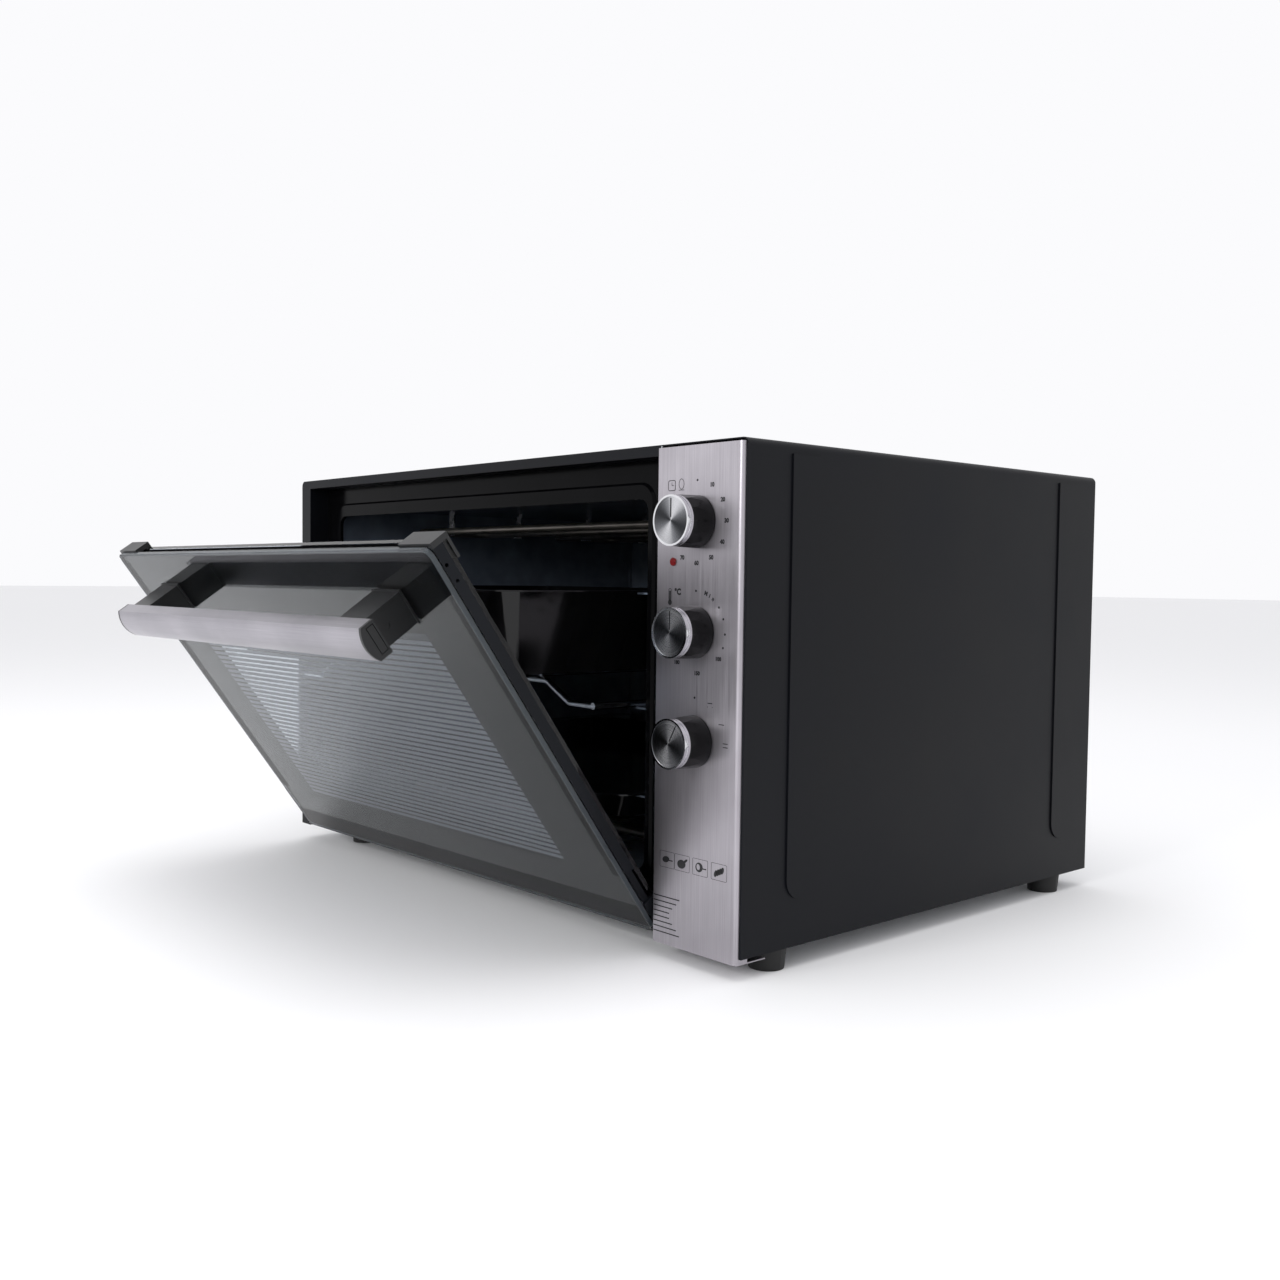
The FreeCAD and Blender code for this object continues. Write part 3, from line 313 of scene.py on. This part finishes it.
def slab(bm, outline, depth, place):
    """Closed slab from a flat outline of (a, b) points; place turns (a, b, c) to a point."""
    low = [bm.verts.new(place(a, b, 0.0)) for a, b in outline]
    high = [bm.verts.new(place(a, b, depth)) for a, b in outline]
    bm.faces.new(low)
    bm.faces.new(high[::-1])
    n = len(outline)
    for i in range(n):
        k = (i + 1) % n
        bm.faces.new((low[i], low[k], high[k], high[i]))


def band(bm, outer, inner, depth, place):
    """Closed flat ring between two outlines with the same number of points."""
    rows = []
    for pts, c in ((outer, 0.0), (inner, 0.0), (inner, depth), (outer, depth)):
        rows.append([bm.verts.new(place(a, b, c)) for a, b in pts])
    n = len(outer)
    for r in range(4):
        s = (r + 1) % 4
        for i in range(n):
            k = (i + 1) % n
            bm.faces.new((rows[r][i], rows[r][k], rows[s][k], rows[s][i]))


def rounded(a0, a1, b0, b1, r, steps=5):
    pts = []
    corners = ((a1 - r, b0 + r, -90), (a1 - r, b1 - r, 0), (a0 + r, b1 - r, 90), (a0 + r, b0 + r, 180))
    for ca, cb, start in corners:
        for k in range(steps + 1):
            w = math.radians(start + 90 * k / steps)
            pts.append((ca + r * math.cos(w), cb + r * math.sin(w)))
    return pts


def ellipse(a, b, ra, rb, turn=0.0, steps=28):
    c, s = math.cos(turn), math.sin(turn)
    out = []
    for k in range(steps):
        u, v = ra * math.cos(2 * math.pi * k / steps), rb * math.sin(2 * math.pi * k / steps)
        out.append((a + u * c - v * s, b + u * s + v * c))
    return out


# ---------------------------------------------------------------- door glass prints
hinge = JOINTS["door_hinge"]
HINGE = Vector(hinge["pos_m"])
OPEN = math.radians(-hinge["range_deg"][0])
HINGE_BACK, HINGE_UP = 0.014, 0.010
TURN = Matrix.Rotation(OPEN, 4, "X")
X_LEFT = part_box("outer_glass")[0][0]
X_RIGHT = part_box("outer_glass")[1][0]


def on_door(a, t, out):
    """Point on the open door: a along x in metres, t up the pane, out outward from the outer glass face."""
    closed = Vector((0.0, HINGE_BACK * -1 - out, t - HINGE_UP))
    p = TURN @ closed
    return Vector((a, HINGE.y + p.y, HINGE.z + p.z))


PANE_H = 0.3185
PRINT_T = 0.00012
OUTER_BACK = 0.00412
INNER_FRONT = 0.0118
WIN = (X_LEFT + 0.062, X_RIGHT - 0.064, 0.050, 0.252)
bm = bmesh.new()
outer_line = rounded(X_LEFT + 0.0015, X_RIGHT - 0.0015, 0.0015, PANE_H - 0.0015, 0.006)
inner_line = rounded(WIN[0], WIN[1], WIN[2], WIN[3], 0.0012)
band(bm, outer_line, inner_line, PRINT_T, lambda a, b, c: on_door(a, b, -OUTER_BACK - c))
to_mesh_object("outer_glass_printed_border", bm, GLASS_PRINT, "door")
bm = bmesh.new()
outer_line = rounded(X_LEFT + 0.013, X_RIGHT - 0.013, 0.023, PANE_H - 0.003, 0.003)
band(bm, outer_line, inner_line, PRINT_T, lambda a, b, c: on_door(a, b, -INNER_FRONT - c))
to_mesh_object("inner_glass_printed_border", bm, GLASS_PRINT, "door")


def strips_tree(name, mat):
    """Repeats one flat bar up a surface: count, pitch, length, height and thickness are inputs."""
    g = bpy.data.node_groups.new(name, "GeometryNodeTree")
    face = g.interface
    face.new_socket("Geometry", in_out="OUTPUT", socket_type="NodeSocketGeometry")
    ids = {}
    for label, kind, value in (("Count", "Int", 10), ("Pitch", "Float", 0.005), ("Length", "Float", 0.3),
                               ("Height", "Float", 0.001), ("Thickness", "Float", 0.0001)):
        sock = face.new_socket(label, in_out="INPUT", socket_type="NodeSocket" + kind)
        sock.default_value = value
        ids[label] = sock.identifier
    src = add(g, "NodeGroupInput")
    step = add(g, "ShaderNodeCombineXYZ", {"Z": src.outputs["Pitch"]})
    row = add(g, "GeometryNodeMeshLine", {"Count": src.outputs["Count"], "Offset": step.outputs[0]},
              mode="OFFSET")
    size = add(g, "ShaderNodeCombineXYZ", {"X": src.outputs["Length"], "Y": src.outputs["Thickness"],
                                           "Z": src.outputs["Height"]})
    bar = add(g, "GeometryNodeMeshCube", {"Size": size.outputs[0]})
    put = add(g, "GeometryNodeInstanceOnPoints", {"Points": row.outputs[0], "Instance": bar.outputs[0]})
    real = add(g, "GeometryNodeRealizeInstances", {0: put.outputs[0]})
    paint = add(g, "GeometryNodeSetMaterial", {"Geometry": real.outputs[0]}, Material=mat)
    out = add(g, "NodeGroupOutput")
    g.links.new(paint.outputs[0], out.inputs[0])
    return g, ids


def bake(name, tree, ids, values, move, body):
    """Run a tree on an empty mesh, keep its plain mesh, move it to its place and let it ride."""
    carrier = bpy.data.objects.new(name + "_rule", bpy.data.meshes.new(name + "_rule"))
    bpy.context.scene.collection.objects.link(carrier)
    mod = carrier.modifiers.new("rule", "NODES")
    mod.node_group = tree
    for label, value in values.items():
        mod[ids[label]] = value
    deps = bpy.context.evaluated_depsgraph_get()
    me = bpy.data.meshes.new_from_object(carrier.evaluated_get(deps))
    carrier.modifiers.clear()
    bpy.data.objects.remove(carrier)
    me.name = name
    me.transform(move)
    obj = bpy.data.objects.new(name, me)
    bpy.context.scene.collection.objects.link(obj)
    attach(obj, body)
    return obj


tree, ids = strips_tree("window_line_rows", GLASS_LINES)
LINE_PITCH = 0.005
LINE_H = 0.0032
count = int((WIN[3] - WIN[2] - 0.004) / LINE_PITCH)
mid_a = (WIN[0] + WIN[1]) / 2
first = on_door(mid_a, WIN[2] + 0.004, -0.0042)
bake("window_printed_lines", tree, ids,
     {"Count": count, "Pitch": LINE_PITCH, "Length": WIN[1] - WIN[0], "Height": LINE_H, "Thickness": 0.0001},
     Matrix.Translation(first) @ TURN, "door")

# Ground edge of the outer pane, a thin grey line just inside its side faces.
bm = bmesh.new()
band(bm, rounded(X_LEFT + 0.0012, X_RIGHT - 0.0012, 0.0012, PANE_H - 0.0012, 0.0062),
     rounded(X_LEFT + 0.0020, X_RIGHT - 0.0020, 0.0020, PANE_H - 0.0020, 0.0054), 0.003,
     lambda a, b, c: on_door(a, b, -0.0005 - c))
to_mesh_object("outer_glass_ground_edge", bm, GLASS_EDGE, "door")

# ---------------------------------------------------------------- control panel print
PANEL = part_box("control_panel")
PY = PANEL[0][1]
DIALS = {n: JOINTS[n + "_turn"]["pos_m"] for n in ("timer", "thermostat", "selector")}
FOOT_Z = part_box("feet")[0][2]
CASE_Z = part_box("base_pan")[0][2]
panel_ink = bmesh.new()


def on_panel(a, b, c):
    """Point on the panel: a along x, b up, c outward."""
    return Vector((a, PY - 0.00002 - c, b))


INK_T = 0.00006


def dot(cx, cz, r):
    slab(panel_ink, ellipse(cx, cz, r, r, 0, 20), INK_T, on_panel)


def bar(x0, x1, z0, z1):
    slab(panel_ink, [(x0, z0), (x1, z0), (x1, z1), (x0, z1)], INK_T, on_panel)


def ring_mark(outer_pts, inner_pts):
    band(panel_ink, outer_pts, inner_pts, INK_T, on_panel)


def around(dial, degrees, radius):
    cx, _, cz = DIALS[dial]
    w = math.radians(degrees)
    return cx + radius * math.sin(w), cz + radius * math.cos(w)


def written(text, x, z, height, turn=0.0):
    """Small printed characters as a thin mesh, added to the panel's print."""
    curve = bpy.data.curves.new("mark", "FONT")
    curve.body = text
    curve.size = height * 1.55
    curve.align_x = "CENTER"
    curve.align_y = "CENTER"
    curve.extrude = INK_T / 2
    curve.offset = height * 0.09
    curve.resolution_u = 3
    obj = bpy.data.objects.new("mark", curve)
    bpy.context.scene.collection.objects.link(obj)
    deps = bpy.context.evaluated_depsgraph_get()
    me = bpy.data.meshes.new_from_object(obj.evaluated_get(deps))
    bpy.data.objects.remove(obj)
    up = Matrix.Rotation(math.radians(90), 4, "X")
    roll = Matrix.Rotation(turn, 4, "Y")
    me.transform(Matrix.Translation((x, PY - 0.00005, z)) @ roll @ up)
    panel_ink.from_mesh(me)
    bpy.data.meshes.remove(me)


R = 0.0272
dot(*around("timer", 0, R), 0.0008)
for k, label in enumerate(("10", "20", "30", "40", "50", "60", "70")):
    written(label, *around("timer", 30 * (k + 1), R), 0.0025)
dot(*around("thermostat", 0, R), 0.0008)
for k, letter in enumerate("Min"):
    written(letter, *around("thermostat", 20 + 8 * k, R), 0.0024, math.radians(20 + 8 * k))
for w in (52, 70, 91, 110):
    dot(*around("thermostat", w, R), 0.0008)
for label, w in (("100", 128), ("150", 176), ("180", 220), ("200", 250), ("250", 284)):
    written(label, *around("thermostat", w, R), 0.0023)
R2 = 0.029
dot(*around("selector", 0, R2), 0.0008)
for w, rows in ((30, (1,)), (60, (-1,)), (90, (1, -1))):
    x, z = around("selector", w, R2)
    for side in rows:
        bar(x - 0.0022, x + 0.0022, z + side * 0.0012 - 0.0003, z + side * 0.0012 + 0.0003)
    if len(rows) == 1:
        for e in (-1, 1):
            bar(x + e * 0.0022 - 0.0002, x + e * 0.0022 + 0.0002, z - 0.0016, z - 0.0010)

TX, _, TZ = DIALS["timer"]
cx, cz = TX - 0.0245, TZ + 0.0246
ring_mark(rounded(cx - 0.0036, cx + 0.0036, cz - 0.0036, cz + 0.0036, 0.0014),
          rounded(cx - 0.0031, cx + 0.0031, cz - 0.0031, cz + 0.0031, 0.0009))
bar(cx - 0.0002, cx + 0.0002, cz, cz + 0.0022)
bar(cx, cx + 0.0018, cz - 0.0002, cz + 0.0002)
bx, bz = TX - 0.0152, TZ + 0.0253
ring_mark(ellipse(bx, bz, 0.0026, 0.0036, 0, 24), ellipse(bx, bz, 0.0022, 0.0032, 0, 24))
bar(bx - 0.0026, bx + 0.0026, bz - 0.0042, bz - 0.0038)
HX, _, HZ = DIALS["thermostat"]
tx, tz = HX - 0.025, HZ + 0.0242
dot(tx, tz - 0.0050, 0.0019)
bar(tx - 0.0007, tx + 0.0007, tz - 0.0040, tz + 0.0028)
ring_mark(rounded(tx - 0.0014, tx + 0.0014, tz - 0.0040, tz + 0.0044, 0.0013),
          rounded(tx - 0.0010, tx + 0.0010, tz - 0.0037, tz + 0.0040, 0.0009))
written("°C", HX - 0.0175, HZ + 0.0262, 0.0036)

row_z = CASE_Z + 0.0545
for k, x in enumerate((-0.0245, -0.0098, 0.0075, 0.0250)):
    cx = TX + x
    ring_mark(rounded(cx - 0.0072, cx + 0.0072, row_z - 0.0056, row_z + 0.0056, 0.0010),
              rounded(cx - 0.00695, cx + 0.00695, row_z - 0.00535, row_z + 0.00535, 0.0008))
    if k == 0:
        slab(panel_ink, ellipse(cx - 0.0012, row_z, 0.0034, 0.0021, 0.2), INK_T, on_panel)
        bar(cx + 0.0016, cx + 0.0056, row_z - 0.0007, row_z + 0.0001)
    elif k == 1:
        slab(panel_ink, ellipse(cx - 0.0006, row_z - 0.0008, 0.0040, 0.0030, 0.1), INK_T, on_panel)
        slab(panel_ink, ellipse(cx + 0.0034, row_z + 0.0019, 0.0021, 0.0009, 0.6), INK_T, on_panel)
    elif k == 2:
        ring_mark(ellipse(cx - 0.0010, row_z, 0.0034, 0.0032, 0.2),
                  ellipse(cx - 0.0018, row_z + 0.0001, 0.0016, 0.0020, 0.2))
        bar(cx + 0.0022, cx + 0.0058, row_z - 0.0008, row_z)
    else:
        for e in (-0.0030, -0.0010, 0.0010, 0.0030):
            slab(panel_ink, ellipse(cx + e, row_z + e * 0.45, 0.0014, 0.0024, -0.35), INK_T, on_panel)
stripe_x0 = PANEL[0][0]
STRIPE_REACH = (26, 23, 19, 16, 16, 19, 23, 26)
STRIPE_UP = (28.6, 25.1, 21.5, 18.0, 14.5, 11.0, 7.5, 4.0)
for reach, z in zip(STRIPE_REACH, STRIPE_UP):
    bar(stripe_x0 + 0.0004, stripe_x0 + reach * MM, CASE_Z + z * MM - 0.0004, CASE_Z + z * MM + 0.0004)
to_mesh_object("panel_print", panel_ink, INK_BLACK, "casing")

# ---------------------------------------------------------------- pointer lines of the dials
SELECTOR_REST = -JOINTS["selector_turn"]["range_deg"][0]
for dial, turn in (("timer", 0.0), ("thermostat", 0.0), ("selector", SELECTOR_REST)):
    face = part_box(dial + "_face")
    cx, _, cz = DIALS[dial]
    w = math.radians(turn)
    bm = bmesh.new()
    y0 = face[0][1] + 0.00025

    def place(a, b, c, w=w, cx=cx, cz=cz, y0=y0):
        return Vector((cx + a * math.cos(w) + b * math.sin(w), y0 + c,
                       cz + b * math.cos(w) - a * math.sin(w)))
    slab(bm, [(-0.00055, 0.0021), (0.00055, 0.0021), (0.00055, 0.0142), (-0.00055, 0.0142)], 0.0001, place)
    to_mesh_object(dial + "_pointer_ink", bm, INK_BLACK, dial + "_dial")


# ---------------------------------------------------------------- louvre hoods on the rear panel
def hoods_tree(name, mat):
    """Half-round pressed hoods in a grid: columns, rows, spacings and radius are inputs."""
    g = bpy.data.node_groups.new(name, "GeometryNodeTree")
    face = g.interface
    face.new_socket("Geometry", in_out="OUTPUT", socket_type="NodeSocketGeometry")
    ids = {}
    for label, kind, value in (("Columns", "Int", 4), ("Rows", "Int", 9), ("Across", "Float", 0.058),
                               ("Up", "Float", 0.02), ("Radius", "Float", 0.0022),
                               ("Length", "Float", 0.036)):
        sock = face.new_socket(label, in_out="INPUT", socket_type="NodeSocket" + kind)
        sock.default_value = value
        ids[label] = sock.identifier
    src = add(g, "NodeGroupInput")
    along = add(g, "ShaderNodeCombineXYZ", {"X": src.outputs["Across"]})
    up = add(g, "ShaderNodeCombineXYZ", {"Z": src.outputs["Up"]})
    row = add(g, "GeometryNodeMeshLine", {"Count": src.outputs["Columns"], "Offset": along.outputs[0]},
              mode="OFFSET")
    col = add(g, "GeometryNodeMeshLine", {"Count": src.outputs["Rows"], "Offset": up.outputs[0]},
              mode="OFFSET")
    size = {"Radius": src.outputs["Radius"], "Depth": src.outputs["Length"]}
    body = add(g, "GeometryNodeMeshCylinder", size, Vertices=12)
    lay = add(g, "GeometryNodeTransform", {"Geometry": body.outputs[0]})
    lay.inputs["Rotation"].default_value = (0, math.pi / 2, 0)
    stack = add(g, "GeometryNodeInstanceOnPoints", {"Points": col.outputs[0], "Instance": lay.outputs[0]})
    grid = add(g, "GeometryNodeInstanceOnPoints", {"Points": row.outputs[0], "Instance": stack.outputs[0]})
    real = add(g, "GeometryNodeRealizeInstances", {0: grid.outputs[0]})
    paint = add(g, "GeometryNodeSetMaterial", {"Geometry": real.outputs[0]}, Material=mat)
    out = add(g, "NodeGroupOutput")
    g.links.new(paint.outputs[0], out.inputs[0])
    return g, ids


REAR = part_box("rear_panel")
tree, ids = hoods_tree("louvre_hood_grid", FINISH["base_galvanised"])
left_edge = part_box("outer_wrap")[0][0] + 0.0012
bake("rear_louvre_hoods", tree, ids, {"Columns": 4, "Rows": 9},
     Matrix.Translation((left_edge + 0.070 + 0.018, REAR[1][1] - 0.0002, CASE_Z + 0.080 + 0.0045)),
     "casing")
bake("works_louvre_hoods", tree, ids, {"Columns": 1, "Rows": 9, "Up": 0.014},
     Matrix.Translation((PANEL[0][0] + 0.036, REAR[1][1] - 0.0002, CASE_Z + 0.150 + 0.0045)),
     "casing")

# ---------------------------------------------------------------- studio
def area_light(name, at, target, size, power, size_y=None, hex_color="#ffffff"):
    data = bpy.data.lights.new(name, "AREA")
    data.color = srgb(hex_color)[:3]
    data.energy = power
    data.size = size
    if size_y:
        data.shape = "RECTANGLE"
        data.size_y = size_y
    lamp = bpy.data.objects.new(name, data)
    bpy.context.scene.collection.objects.link(lamp)
    lamp.location = at
    lamp.rotation_euler = (Vector(target) - Vector(at)).to_track_quat("-Z", "Y").to_euler()


bm = bmesh.new()
bmesh.ops.create_grid(bm, x_segments=1, y_segments=1, size=25.0)
floor_mesh = bpy.data.meshes.new("studio_floor")
for v in bm.verts:
    v.co.z = FOOT_Z - 0.0002
bm.to_mesh(floor_mesh)
bm.free()
floor = bpy.data.objects.new("studio_floor", floor_mesh)
bpy.context.scene.collection.objects.link(floor)
floor_mat, ft, fs, fco = material("pale_floor")
shade(fs, Base_Color=srgb("#ededee"), Roughness=0.75)
floor_mesh.materials.append(floor_mat)

world = bpy.data.worlds.new("studio")
world.use_nodes = True
sky = world.node_tree.nodes["Background"]
sky.inputs["Color"].default_value = srgb("#fbfbfd")
sky.inputs["Strength"].default_value = 1.0
bpy.context.scene.world = world
area_light("overhead_softbox", (0.1, -0.3, 2.2), (0.0, -0.1, 0.2), 1.8, 18)
area_light("front_softbox", (0.15, -2.3, 0.95), (0.0, 0.0, 0.22), 0.9, 24)

# ---------------------------------------------------------------- camera
AZ, PITCH, ROLL = math.radians(48.28), math.radians(2.69), math.radians(0.69)
back = Vector((math.sin(AZ) * math.cos(PITCH), -math.cos(AZ) * math.cos(PITCH), math.sin(PITCH)))
right = (-back).cross(Vector((0, 0, 1))).normalized()
up = right.cross(-back)
right_r = right * math.cos(ROLL) + up * math.sin(ROLL)
up_r = up * math.cos(ROLL) - right * math.sin(ROLL)
cam_data = bpy.data.cameras.new("camera")
cam_data.sensor_width = 36.0
cam_data.lens = 36.28
cam_data.clip_start = 0.01
camera = bpy.data.objects.new("camera", cam_data)
bpy.context.scene.collection.objects.link(camera)
camera.matrix_world = Matrix((
    (right_r.x, up_r.x, back.x, 0.8665),
    (right_r.y, up_r.y, back.y, -0.8088),
    (right_r.z, up_r.z, back.z, 0.2586),
    (0, 0, 0, 1)))
bpy.context.scene.camera = camera
bpy.context.scene.view_settings.view_transform = "Standard"
